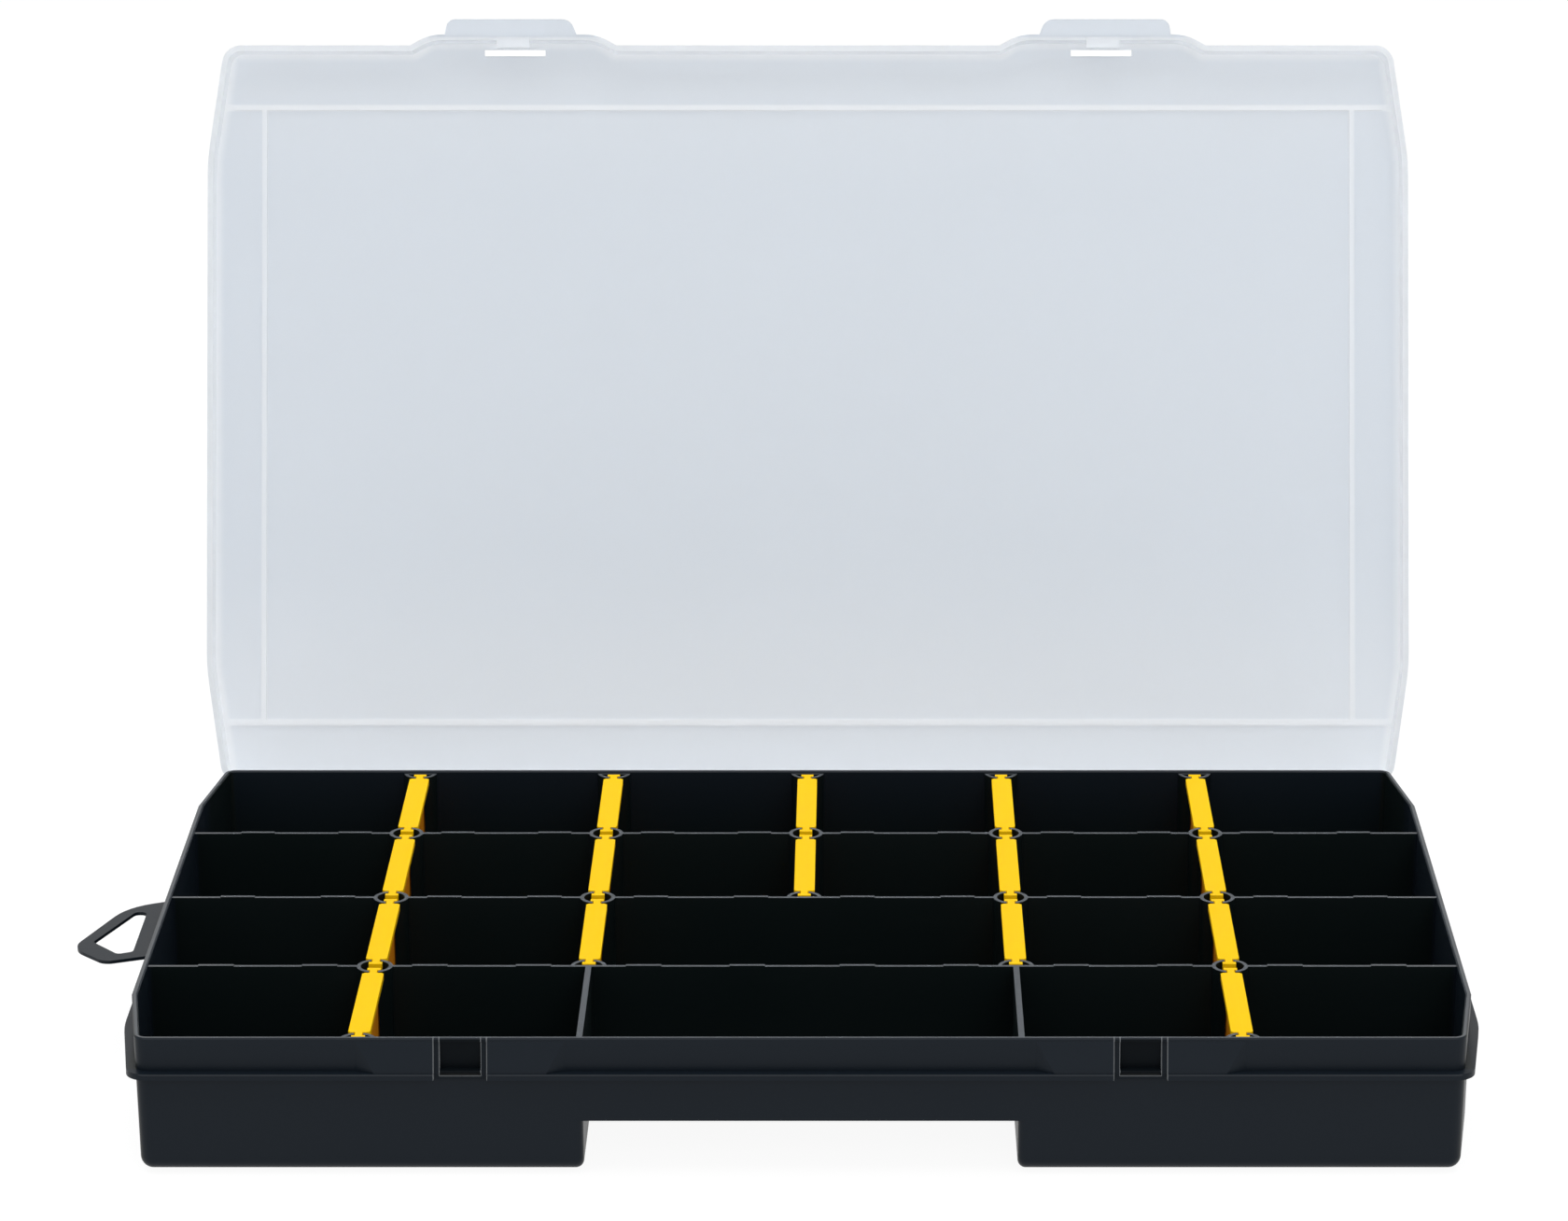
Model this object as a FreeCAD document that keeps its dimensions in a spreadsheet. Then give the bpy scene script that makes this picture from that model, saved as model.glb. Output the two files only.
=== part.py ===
import FreeCAD, Part
from collections import namedtuple
from types import SimpleNamespace
import math
import operator
import os
import Sketcher

# Driving sizes in millimetres, apart from the one angle, which is in degrees.
# +X is to the right, +Y to the hinge side, +Z up, and the foot stands on z = 0.
SIZES = {
    "lid_width": 340.0,
    "lid_depth": 208.7,
    "lid_corner_radius": 5.5,
    "corner_inset": 4.7,
    "taper_length": 32.5,
    "bend_round": 60.0,
    "tray_height": 36.5,
    "foot_height": 1.0,
    "wall": 1.4,
    "wall_lean": 0.6,
    "tub_round": 3.25,
    "rim_bevel": 0.35,
    "edge_round": 0.4,
    "skirt_wall": 1.6,
    "skirt_gap": 0.65,
    "seat_gap": 0.25,
    "lid_edge_bevel": 0.9,
    "flange_drop": 8.7,
    "flange_thickness": 1.6,
    "row_wall": 1.1,
    "row_wall_drop": 0.7,
    "dash_length": 9.0,
    "dash_height": 0.25,
    "dash_offset": 14.0,
    "socket_diameter": 9.2,
    "socket_wall": 1.0,
    "socket_slot": 2.4,
    "divider_web": 1.8,
    "divider_gap": 0.3,
    "head_width": 3.4,
    "head_length": 1.5,
    "head_spacing": 2.8,
    "cap_width": 5.4,
    "cap_thickness": 1.6,
    "cap_corner": 0.6,
    "cross_wall": 1.5,
    "notch_height": 14.5,
    "notch_round": 2.0,
    "foot_side_inset": 20.0,
    "foot_end_inset": 5.0,
    "foot_corner": 4.0,
    "foot_notch_gap": 7.0,
    "latch_x": 83.5,
    "ramp_width": 42.2,
    "ramp_ledge": 0.5,
    "ramp_drop": 0.9,
    "ramp_blend": 8.0,
    "catch_lip": 1.0,
    "catch_depth": 0.9,
    "catch_width": 10.2,
    "catch_bottom": 9.4,
    "frame_border": 1.45,
    "frame_depth": 0.45,
    "shelf_drop": 8.0,
    "shelf_thickness": 0.6,
    "shelf_reach": 0.85,
    "bulge_width": 58.5,
    "bulge_run": 5.75,
    "bulge_depth": 3.1,
    "bulge_round": 14.0,
    "thumb_inner": 18.2,
    "thumb_outer": 19.5,
    "thumb_reach": 7.4,
    "thumb_thickness": 1.8,
    "thumb_inner_corner": 3.6,
    "thumb_outer_corner": 2.6,
    "thumb_inner_slant": 2.0,
    "thumb_outer_slant": 0.9,
    "slot_width": 17.4,
    "slot_depth": 1.9,
    "slot_setback": 0.2,
    "hook_bite": 0.4,
    "hook_gap": 0.15,
    "hook_side_gap": 0.4,
    "hook_lip": 0.45,
    "hook_brace": 1.95,
    "rib_width": 1.4,
    "rib_height": 0.7,
    "rib_end_inset": 16.85,
    "rib_side_inset": 15.3,
    "hinge_x": 84.0,
    "hinge_reach": 3.1,
    "hinge_drop": 0.2,
    "hinge_radius": 2.7,
    "knuckle_width": 30.0,
    "ear_thickness": 3.4,
    "ear_side_gap": 0.4,
    "ear_root": 11.0,
    "pin_diameter": 3.0,
    "pin_length": 3.0,
    "pin_gap": 0.1,
    "stop_reach": 5.6,
    "stop_gap": 0.1,
    "lid_open_angle": 107.93,
    "loop_thickness": 0.9,
    "loop_reach": 20.7,
    "loop_back": 18.6,
    "loop_shoulder_reach": 10.25,
    "loop_shoulder": 13.9,
    "loop_tip": 16.3,
    "loop_front_reach": 11.1,
    "loop_front": 26.6,
    "loop_root_front": 22.2,
    "loop_root_band": 4.5,
    "loop_side_band": 3.6,
    "loop_front_band": 5.6,
    "loop_shoulder_round": 17.0,
    "loop_tip_round": 8.0,
    "loop_front_round": 3.5,
    "loop_hole_round": 1.6,
}

# Rows count from the back, columns from the middle of the box.
DIVIDERS = {
    "back": ("far_left", "left", "centre", "right", "far_right"),
    "mid_back": ("far_left", "left", "centre", "right", "far_right"),
    "mid_front": ("far_left", "left", "right", "far_right"),
    "front": ("far_left", "far_right"),
}
COLUMNS = {"far_left": -2, "left": -1, "centre": 0, "right": 1, "far_right": 2}
ROWS = list(DIVIDERS)
ROW_WALLS = (1, 0, -1)
COLUMN_COUNT = 6
SOCKET_LINES = {"back_sockets": (2, 1), "front_sockets": (0, -1, -2)}

OPERATIONS = {
    "+": operator.add,
    "-": operator.sub,
    "*": operator.mul,
    "/": operator.truediv,
}
START = 1
END = 2
MIDDLE = 3
ORIGIN = (-1, START)
UP = FreeCAD.Vector(0, 0, 1)
TINY = 1e-6

# A helper point of a sketch, by its number among the helper points.
Tip = namedtuple("Tip", "number")

# A corner of an outline, with the radius of its rounding if it has one.
Corner = namedtuple("Corner", "x y round", defaults=(None,))


class Size:
    """A number together with the sheet expression that gives it."""

    def __init__(self, value, text):
        self.value = value
        self.text = text

    def __add__(self, other):
        return joined(self, "+", other)

    def __radd__(self, other):
        return joined(other, "+", self)

    def __sub__(self, other):
        return joined(self, "-", other)

    def __rsub__(self, other):
        return joined(other, "-", self)

    def __mul__(self, other):
        return joined(self, "*", other)

    def __rmul__(self, other):
        return joined(other, "*", self)

    def __truediv__(self, other):
        return joined(self, "/", other)

    def __neg__(self):
        return joined(0, "-", self)


def sized(number):
    """Any plain number as a Size."""
    return number if isinstance(number, Size) else Size(float(number), repr(number))


def joined(left, sign, right):
    """The Size of a sum, difference, product or quotient."""
    left = sized(left)
    right = sized(right)
    value = OPERATIONS[sign](left.value, right.value)
    return Size(value, f"({left.text} {sign} {right.text})")


def wave(function, degrees):
    """The sine, cosine or tangent of an angle that the sheet holds in degrees."""
    value = getattr(math, function)(math.radians(degrees.value))
    return Size(value, f"{function}({degrees.text} * 1 deg)")


size = SimpleNamespace(**{name: Size(number, f"Sizes.{name}") for name, number in SIZES.items()})

# Levels above the table.
rim = size.tray_height
floor_level = size.foot_height + size.wall
floor_bite = size.wall * 0.04
wall_top = rim - size.row_wall_drop
flange_top = rim - size.flange_drop
flange_underside = flange_top - size.flange_thickness
skirt_edge = flange_top + size.seat_gap
plate_underside = rim + size.seat_gap
plate_top = plate_underside + size.skirt_wall
hinge_z = flange_top - size.hinge_drop

# Distances from the box's middle.
half_width = size.lid_width / 2
half_depth = size.lid_depth / 2
rim_inset = size.skirt_wall + size.skirt_gap
rim_end = half_depth - rim_inset
cell_end = rim_end - size.wall - size.wall_lean
cell_corner = half_width - size.corner_inset - rim_inset - size.wall
wall_bite = size.wall * 0.96
hinge_y = half_depth + size.hinge_reach
column_pitch = (cell_corner + size.wall) / 3
row_pitch = (cell_end - size.divider_gap + size.head_spacing / 2) / 2
cross_wall_x = column_pitch
ramp_foot = -(half_depth - size.ramp_ledge)
shelf_front = -(half_depth - size.shelf_reach)
shelf_underside = rim - size.shelf_drop - size.shelf_thickness
ring_radius = size.socket_diameter / 2
bore_radius = ring_radius - size.socket_wall


def bind(thing, path, amount):
    """Tie a property to the sheet."""
    thing.setExpression(path, sized(amount).text)


def make_sheet(doc):
    """The spreadsheet of driving sizes."""
    sheet = doc.addObject("Spreadsheet::Sheet", "Sizes")
    for row, (name, number) in enumerate(SIZES.items(), start=1):
        sheet.set(f"A{row}", name)
        sheet.set(f"B{row}", str(number))
        sheet.setAlias(f"B{row}", name)
    doc.recompute()


def plane_of(body, role):
    """One of a body's own origin planes."""
    return next(f for f in body.Origin.OriginFeatures if f.Role == role)


class Drawing:
    """A sketch on one of a body's origin planes, moved along that plane's normal.

    Its shapes and rules are gathered first and added together when it is used.
    """

    def __init__(self, body, name, role, offset=None):
        self.sketch = body.newObject("Sketcher::SketchObject", name)
        self.sketch.AttachmentSupport = (plane_of(body, role), [""])
        self.sketch.MapMode = "FlatFace"
        if offset is not None:
            bind(self.sketch, "AttachmentOffset.Base.z", offset)
        self.shapes = []
        self.tips = []
        self.rules = []
        self.ties = {}

    def shape(self, curve):
        """Add a line, arc or circle and give its number."""
        self.shapes.append(curve)
        return len(self.shapes) - 1

    def tip(self, point):
        """Add a helper point where two lines would meet."""
        self.tips.append(Part.Point(point))
        return Tip(len(self.tips) - 1)

    def rule(self, *words):
        """Add a geometric rule."""
        self.rules.append(words)

    def measure(self, amount, *words):
        """Add a rule with a size from the sheet."""
        self.ties[len(self.rules)] = amount
        self.rules.append((*words, amount.value))

    def finish(self):
        """Put everything into the sketch."""
        self.sketch.addGeometry(self.shapes)
        self.sketch.addGeometry(self.tips, True)
        first_tip = len(self.shapes)
        rules = []
        for words in self.rules:
            numbers = [first_tip + w.number if isinstance(w, Tip) else w for w in words]
            rules.append(Sketcher.Constraint(*numbers))
        self.sketch.addConstraint(rules)
        for index, amount in self.ties.items():
            bind(self.sketch, f"Constraints[{index}]", amount)
        return self.sketch

    def hold(self, kind, point, amount):
        """Hold one coordinate of a point, measured from the sketch's origin."""
        amount = sized(amount)
        if abs(amount.value) < TINY:
            self.rule("Vertical" if kind == "DistanceX" else "Horizontal", *ORIGIN, *point)
        elif amount.value > 0:
            self.measure(amount, kind, *ORIGIN, *point)
        else:
            self.measure(-amount, kind, *point, *ORIGIN)

    def place(self, point, x, y):
        """Hold a point at x and y."""
        self.hold("DistanceX", point, x)
        self.hold("DistanceY", point, y)

    def circle(self, x, y, radius):
        """A circle about a point."""
        curve = self.shape(Part.Circle(spot(x, y), UP, radius.value))
        self.place((curve, MIDDLE), x, y)
        self.measure(radius, "Radius", curve)

    def half_disc(self, x, y, radius, chord, side):
        """The part of a disc that lies on one side, +1 or -1 in y, of a chord."""
        middle = spot(x, y)
        rise = sized(chord).value - middle.y
        reach = math.sqrt(radius.value**2 - rise**2) * side
        start = middle + FreeCAD.Vector(reach, rise, 0)
        end = middle + FreeCAD.Vector(-reach, rise, 0)
        arc = self.shape(arc_about(middle, start, end, radius.value))
        line = self.shape(Part.LineSegment(end, start))
        self.rule("Coincident", arc, END, line, START)
        self.rule("Coincident", line, END, arc, START)
        self.rule("Horizontal", line)
        self.place((arc, MIDDLE), x, y)
        self.measure(radius, "Radius", arc)
        self.hold("DistanceY", (line, START), chord)

    def outline(self, corners):
        """A closed counterclockwise outline with sharp and rounded corners."""
        points = [spot(c.x, c.y) for c in corners]
        rounds = {}
        for i, corner in enumerate(corners):
            if corner.round is not None:
                after = points[(i + 1) % len(points)]
                rounds[i] = rounding(points[i - 1], points[i], after, corner.round.value)
        edges = []
        for i in range(len(corners)):
            after = (i + 1) % len(points)
            start = rounds[i][1] if i in rounds else points[i]
            end = rounds[after][0] if after in rounds else points[after]
            edges.append(self.shape(Part.LineSegment(start, end)))
        for i, corner in enumerate(corners):
            if i in rounds:
                self.round_corner(corner, points[i], rounds[i], edges[i - 1], edges[i])
            else:
                self.rule("Coincident", edges[i - 1], END, edges[i], START)
                self.place((edges[i], START), corner.x, corner.y)

    def round_corner(self, corner, point, shape, before, after):
        """An arc that is tangent to both lines, whose meeting point is held in place."""
        start, end, middle, outward = shape
        ends = (start, end) if outward else (end, start)
        arc = self.shape(arc_about(middle, *ends, corner.round.value))
        first, last = (START, END) if outward else (END, START)
        self.rule("Tangent", before, END, arc, first)
        self.rule("Tangent", arc, last, after, START)
        self.measure(corner.round, "Radius", arc)
        tip = self.tip(point)
        self.rule("PointOnObject", tip, START, before)
        self.rule("PointOnObject", tip, START, after)
        self.place((tip, START), corner.x, corner.y)

    def rectangle(self, left, right, low, high):
        """A rectangle with sharp corners."""
        spots = [(left, low), (right, low), (right, high), (left, high)]
        self.outline([Corner(x, y) for x, y in spots])


def spot(x, y):
    """A point of a sketch as a vector."""
    return FreeCAD.Vector(sized(x).value, sized(y).value, 0)


def rounding(before, corner, after, radius):
    """Where a rounded corner starts and ends, its middle, and whether it points outward."""
    back = (before - corner).normalize()
    ahead = (after - corner).normalize()
    half = back.getAngle(ahead) / 2
    reach = radius / math.tan(half)
    middle = corner + (back + ahead).normalize() * (radius / math.sin(half))
    outward = ahead.cross(back).z > 0
    return corner + back * reach, corner + ahead * reach, middle, outward


def arc_about(middle, start, end, radius):
    """The counterclockwise arc from one point to another."""
    angles = [math.atan2(p.y - middle.y, p.x - middle.x) for p in (start, end)]
    return Part.ArcOfCircle(Part.Circle(middle, UP, radius), *angles)


def box_outline(inset):
    """The plan shape that lid, flange and tray share, drawn in by an inset."""
    side = half_width - inset
    end = half_depth - inset
    slope = size.corner_inset / size.taper_length
    corner = side - size.corner_inset + slope * inset
    bend = half_depth - size.taper_length
    radius = size.lid_corner_radius - inset
    sweep = size.bend_round - inset
    return [
        Corner(-corner, -end, radius),
        Corner(corner, -end, radius),
        Corner(side, -bend, sweep),
        Corner(side, bend, sweep),
        Corner(corner, end, radius),
        Corner(-corner, end, radius),
        Corner(-side, bend, sweep),
        Corner(-side, -bend, sweep),
    ]


def add(body, kind, name, drawing, length):
    """A pad along the drawing's normal, or a pocket against it."""
    profile = drawing.finish()
    feature = body.newObject(f"PartDesign::{kind}", name)
    feature.Profile = profile
    feature.Refine = False
    bind(feature, "Length", length)
    return feature


def mirrored(body, name, originals):
    """The same features on the other side of the box's middle."""
    feature = body.newObject("PartDesign::Mirrored", name)
    feature.Originals = originals
    feature.MirrorPlane = (plane_of(body, "YZ_Plane"), [""])
    feature.Refine = False
    body.Tip = feature
    return feature


def patterned(body, name, original, repeats):
    """A feature repeated in a grid: (name, axis, length, count) for each direction."""
    grid = body.newObject("PartDesign::MultiTransform", name)
    grid.Originals = [original]
    steps = []
    for step_name, role, length, count in repeats:
        step = body.newObject("PartDesign::LinearPattern", step_name)
        step.Direction = (plane_of(body, role), [""])
        bind(step, "Length", length)
        step.Occurrences = count
        steps.append(step)
    grid.Transformations = steps
    grid.Refine = False
    body.Tip = grid
    return grid


def dress(body, kind, name, names):
    """A fillet, chamfer, draft or shell on named parts of the body's last feature."""
    base = body.Tip
    feature = body.newObject(f"PartDesign::{kind}", name)
    feature.Base = (base, names)
    return feature


def faces_where(feature, test):
    """Names of the faces that pass a test."""
    shapes = enumerate(feature.Shape.Faces, start=1)
    return [f"Face{i}" for i, face in shapes if test(face)]


def edges_where(feature, test):
    """Names of the edges that pass a test."""
    shapes = enumerate(feature.Shape.Edges, start=1)
    return [f"Edge{i}" for i, edge in shapes if test(edge)]


def lies_at(shape, level):
    """Whether a face or an edge lies flat at a height."""
    box = shape.BoundBox
    return abs(box.ZMin - level.value) < TINY and abs(box.ZMax - level.value) < TINY


def rounded(body, name, radius, test):
    """A fillet on the edges of the last feature that pass a test."""
    body.Document.recompute()
    feature = dress(body, "Fillet", name, edges_where(body.Tip, test))
    bind(feature, "Radius", radius)
    return feature


def bevelled(body, name, reach, test):
    """A chamfer on the edges of the last feature that pass a test."""
    body.Document.recompute()
    feature = dress(body, "Chamfer", name, edges_where(body.Tip, test))
    bind(feature, "Size", reach)
    return feature


def shell(body, name, open_level, thickness):
    """Hollow the body inward from its flat face at a level."""
    body.Document.recompute()
    feature = dress(body, "Thickness", name, faces_where(body.Tip, lambda f: lies_at(f, open_level)))
    bind(feature, "Value", thickness)
    feature.Reversed = True
    feature.Join = "Arc"
    return feature


def on_tub_edge(edge):
    """Whether an edge runs round the tub's base or up one of its four corners."""
    at_corner = abs(edge.BoundBox.Center.y) > rim_end.value - size.wall.value
    return lies_at(edge, size.foot_height) or (edge.BoundBox.ZLength > TINY and at_corner)


def tray_notch(body):
    """The finger notch cut up into the front, with its lower edges rounded."""
    room = cross_wall_x - size.cross_wall / 2
    back = -row_pitch - size.row_wall / 2 - size.wall * 0.4
    plan = Drawing(body, "notch_plan", "XY_Plane", size.notch_height)
    plan.rectangle(-room, room, -half_depth, back)
    add(body, "Pocket", "finger_notch", plan, size.notch_height)
    rounded(body, "notch_round", size.notch_round, lambda e: on_notch_foot(e, room))


def on_notch_foot(edge, room):
    """Whether an edge is one of the three straight ones under the notch's walls."""
    box = edge.BoundBox
    return lies_at(edge, size.foot_height) and abs(box.Center.x) < room.value + TINY


def tray_tub(body):
    """The leaning outer wall and the floor with its notch, and a bevelled rim."""
    doc = body.Document
    sketch = Drawing(body, "tub_plan", "XY_Plane", size.foot_height)
    sketch.outline([Corner(corner.x, corner.y) for corner in box_outline(rim_inset)])
    add(body, "Pad", "tub", sketch, rim - size.foot_height)
    doc.recompute()
    top = faces_where(body.Tip, lambda f: lies_at(f, rim))
    walls = faces_where(body.Tip, lambda f: f.BoundBox.ZLength > size.foot_height.value)
    neutral = body.Tip
    lean = dress(body, "Draft", "tub_lean", walls)
    lean.NeutralPlane = (neutral, top)
    lean.Reversed = True
    bind(lean, "Angle", Size(0, f"atan({size.wall_lean.text} / {(rim - size.foot_height).text})"))
    rounded(body, "tub_round", size.tub_round, on_tub_edge)
    tray_notch(body)
    shell(body, "tub_hollow", rim, size.wall)
    bevelled(body, "rim_bevel", size.rim_bevel, lambda e: lies_at(e, rim))


def tray_flange(body):
    """The ledge round the tray that the lid's skirt stands on."""
    sketch = Drawing(body, "flange_plan", "XY_Plane", flange_underside)
    sketch.outline(box_outline(0 * rim_inset))
    sketch.outline(box_outline(rim_inset + wall_bite))
    add(body, "Pad", "flange", sketch, size.flange_thickness)


def tray_row_walls(body):
    """The three long walls, with the low dashes along their tops."""
    end = half_width - rim_inset - wall_bite
    plan = Drawing(body, "row_wall_plan", "XY_Plane", floor_level - floor_bite)
    for row in ROW_WALLS:
        middle = row * row_pitch
        plan.rectangle(-end, end, middle - size.row_wall / 2, middle + size.row_wall / 2)
    add(body, "Pad", "row_walls", plan, wall_top - floor_level + floor_bite)
    pair = Drawing(body, "dash_plan", "XY_Plane", wall_top - size.row_wall / 2)
    low = -row_pitch - size.row_wall / 2
    for middle in (size.dash_offset - 3 * column_pitch, -size.dash_offset - 2 * column_pitch):
        left = middle - size.dash_length / 2
        pair.rectangle(left, left + size.dash_length, low, low + size.row_wall)
    dashes = add(body, "Pad", "dashes", pair, size.dash_height + size.row_wall / 2)
    repeats = [
        ("dash_bays", "X_Axis", 5 * column_pitch, COLUMN_COUNT),
        ("dash_rows", "Y_Axis", 2 * row_pitch, len(ROW_WALLS)),
    ]
    patterned(body, "all_dashes", dashes, repeats)


def tray_cross_walls(body):
    """The two short walls that stand on the notch's raised floor."""
    front = -(rim_end - wall_bite)
    level = size.notch_height + size.wall / 4
    plan = Drawing(body, "cross_wall_plan", "XY_Plane", level)
    for side in (-1, 1):
        left = side * cross_wall_x - size.cross_wall / 2
        plan.rectangle(left, left + size.cross_wall, front, -row_pitch)
    add(body, "Pad", "cross_walls", plan, wall_top - level)


def tray_foot(body):
    """The shallow raised field that the tray stands on, kept clear of the notch."""
    side = half_width - size.corner_inset - rim_inset - size.foot_side_inset
    end = rim_end - size.wall_lean - size.foot_end_inset
    notch = cross_wall_x + size.foot_notch_gap
    notch_end = row_pitch - size.foot_notch_gap
    radius = size.foot_corner
    plan = Drawing(body, "foot_plan", "XY_Plane")
    plan.outline(
        [
            Corner(-side, -end, radius),
            Corner(-notch, -end),
            Corner(-notch, -notch_end),
            Corner(notch, -notch_end),
            Corner(notch, -end),
            Corner(side, -end, radius),
            Corner(side, end, radius),
            Corner(-side, end, radius),
        ],
    )
    add(body, "Pad", "foot", plan, size.foot_height + size.wall / 2)


def socket_sides(line):
    """The columns with a socket on a wall line, and the sides of it that hold a divider."""
    found = {}
    for row, name in enumerate(ROWS):
        for column in DIVIDERS[name]:
            if line == 2 - row:
                found.setdefault(COLUMNS[column], []).append(-1)
            if line == 1 - row:
                found.setdefault(COLUMNS[column], []).append(1)
    return found


def tray_sockets(body, name, lines):
    """Split rings that take the dividers' heads, half rings where one side is closed."""
    rings = Drawing(body, f"{name}_plan", "XY_Plane", floor_level - floor_bite)
    bores = Drawing(body, f"{name}_bore_plan", "XY_Plane", rim)
    slots = Drawing(body, f"{name}_slot_plan", "XY_Plane", rim)
    slot_reach = ring_radius + size.divider_gap
    head_back = size.head_spacing / 2 + size.head_length
    sites = [(line, *found) for line in lines for found in socket_sides(line).items()]
    for line, column, sides in sites:
        x = column * column_pitch
        y = line * row_pitch
        low, high = -slot_reach, slot_reach
        if len(sides) == 2:
            rings.circle(x, y, ring_radius)
            bores.circle(x, y, bore_radius)
        else:
            side = sides[0]
            on_outer_wall = abs(line) == 2
            seat = -side * (rim_end - wall_bite) if on_outer_wall else y
            face = -side * cell_end if on_outer_wall else y + side * size.row_wall / 2
            rings.half_disc(x, y, ring_radius, seat, side)
            bores.half_disc(x, y, bore_radius, face, side)
            low, high = (head_back, slot_reach) if side > 0 else (-slot_reach, -head_back)
        slots.rectangle(x - size.socket_slot / 2, x + size.socket_slot / 2, y + low, y + high)
    add(body, "Pad", name, rings, wall_top - floor_level + floor_bite)
    add(body, "Pocket", f"{name}_bores", bores, rim - floor_level)
    add(body, "Pocket", f"{name}_slots", slots, rim - floor_level)


def tray_latch_ramp(body):
    """The pad that slopes out from under the rim to the flange, with faired sides."""
    middle = size.latch_x
    half = size.ramp_width / 2
    inside = -(rim_end - wall_bite)
    low = flange_top - size.flange_thickness / 2
    plan = Drawing(body, "ramp_plan", "XY_Plane", low)
    plan.outline(
        [
            Corner(middle - half - size.ramp_blend, inside),
            Corner(middle - half, ramp_foot),
            Corner(middle + half, ramp_foot),
            Corner(middle + half + size.ramp_blend, inside),
        ],
    )
    pad = add(body, "Pad", "latch_ramp", plan, rim - size.ramp_drop - low)
    reach = half + size.ramp_blend
    slope = Drawing(body, "ramp_slope_profile", "YZ_Plane", middle + reach)
    slope.outline(
        [
            Corner(-half_depth, flange_top),
            Corner(ramp_foot, flange_top),
            Corner(-rim_end, rim - size.ramp_drop),
            Corner(-half_depth, rim - size.ramp_drop),
        ],
    )
    return [pad, add(body, "Pocket", "ramp_slope", slope, 2 * reach)]


def tray_latch_pocket(body):
    """The framed pocket in the ramp, with the shelf that the lid's hook snaps under."""
    middle = size.latch_x
    half = size.catch_width / 2
    outside = half_depth + size.wall
    lip = rim - size.catch_lip
    bottom = rim - size.catch_bottom
    back = rim_end - size.catch_depth
    boss_half = half + size.wall
    boss = Drawing(body, "boss_plan", "XZ_Plane", back - size.wall)
    boss.rectangle(middle - boss_half, middle + boss_half, bottom - size.wall, wall_top)
    boss_pad = add(body, "Pad", "latch_boss", boss, size.wall + size.catch_depth / 2)
    frame_half = half + size.frame_border
    frame_bottom = bottom - size.frame_border * 0.75
    frame = Drawing(body, "frame_profile", "YZ_Plane", middle + frame_half)
    frame.outline(
        [
            Corner(-outside, frame_bottom),
            Corner(ramp_foot + size.frame_depth, frame_bottom),
            Corner(ramp_foot + size.frame_depth, flange_top),
            Corner(-rim_end + size.frame_depth, lip),
            Corner(-outside, lip),
        ],
    )
    frame_cut = add(body, "Pocket", "latch_frame", frame, 2 * frame_half)
    pocket = Drawing(body, "pocket_plan", "XZ_Plane", outside)
    pocket.rectangle(middle - half, middle + half, bottom, lip)
    pocket_cut = add(body, "Pocket", "latch_pocket", pocket, outside - back)
    shelf_half = half + size.hook_side_gap / 4
    shelf = Drawing(body, "shelf_plan", "XY_Plane", shelf_underside)
    shelf.rectangle(middle - shelf_half, middle + shelf_half, shelf_front, -back + size.wall / 2)
    shelf_pad = add(body, "Pad", "latch_shelf", shelf, size.shelf_thickness)
    return [boss_pad, frame_cut, pocket_cut, shelf_pad]


def tray_latches(body):
    """The two places on the front where the lid snaps shut."""
    mirrored(body, "latch_pair", tray_latch_ramp(body) + tray_latch_pocket(body))


def tray_hinge_ears(body):
    """Two pairs of bored ears behind the flange, each with a horn that stops the lid."""
    radius = size.hinge_radius
    root = half_depth - rim_inset - wall_bite
    stop_line = size.hinge_reach - size.stop_gap
    past = size.lid_open_angle - 90
    horn_tip_y = hinge_y + wave("sin", past) * stop_line + wave("cos", past) * size.stop_reach
    horn_tip_z = hinge_z + wave("cos", past) * stop_line - wave("sin", past) * size.stop_reach
    horn_foot_y = hinge_y + wave("sin", past) * stop_line
    horn_foot_z = hinge_z + wave("cos", past) * stop_line
    ears = []
    half_gap = size.knuckle_width / 2 + size.ear_side_gap
    for name, start in (
        ("inner_ear", size.hinge_x - half_gap - size.ear_thickness),
        ("outer_ear", size.hinge_x + half_gap),
    ):
        profile = Drawing(body, f"{name}_profile", "YZ_Plane", start)
        profile.outline(
            [
                Corner(root, flange_underside - size.ear_root),
                Corner(hinge_y + radius, hinge_z - radius, radius),
                Corner(horn_tip_y, horn_tip_z),
                Corner(horn_foot_y, horn_foot_z),
                Corner(hinge_y - radius, hinge_z + radius, radius - size.edge_round),
                Corner(hinge_y - radius, flange_top - size.edge_round),
                Corner(root, flange_top - size.edge_round),
            ],
        )
        ears.append(add(body, "Pad", name, profile, size.ear_thickness))
    bore = Drawing(body, "ear_bore_plan", "YZ_Plane", size.hinge_x + half_gap + size.ear_thickness)
    bore.circle(hinge_y, hinge_z, size.pin_diameter / 2 + size.pin_gap)
    ears.append(add(body, "Pocket", "ear_bores", bore, 2 * (half_gap + size.ear_thickness)))
    mirrored(body, "ear_pairs", ears)


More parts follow.
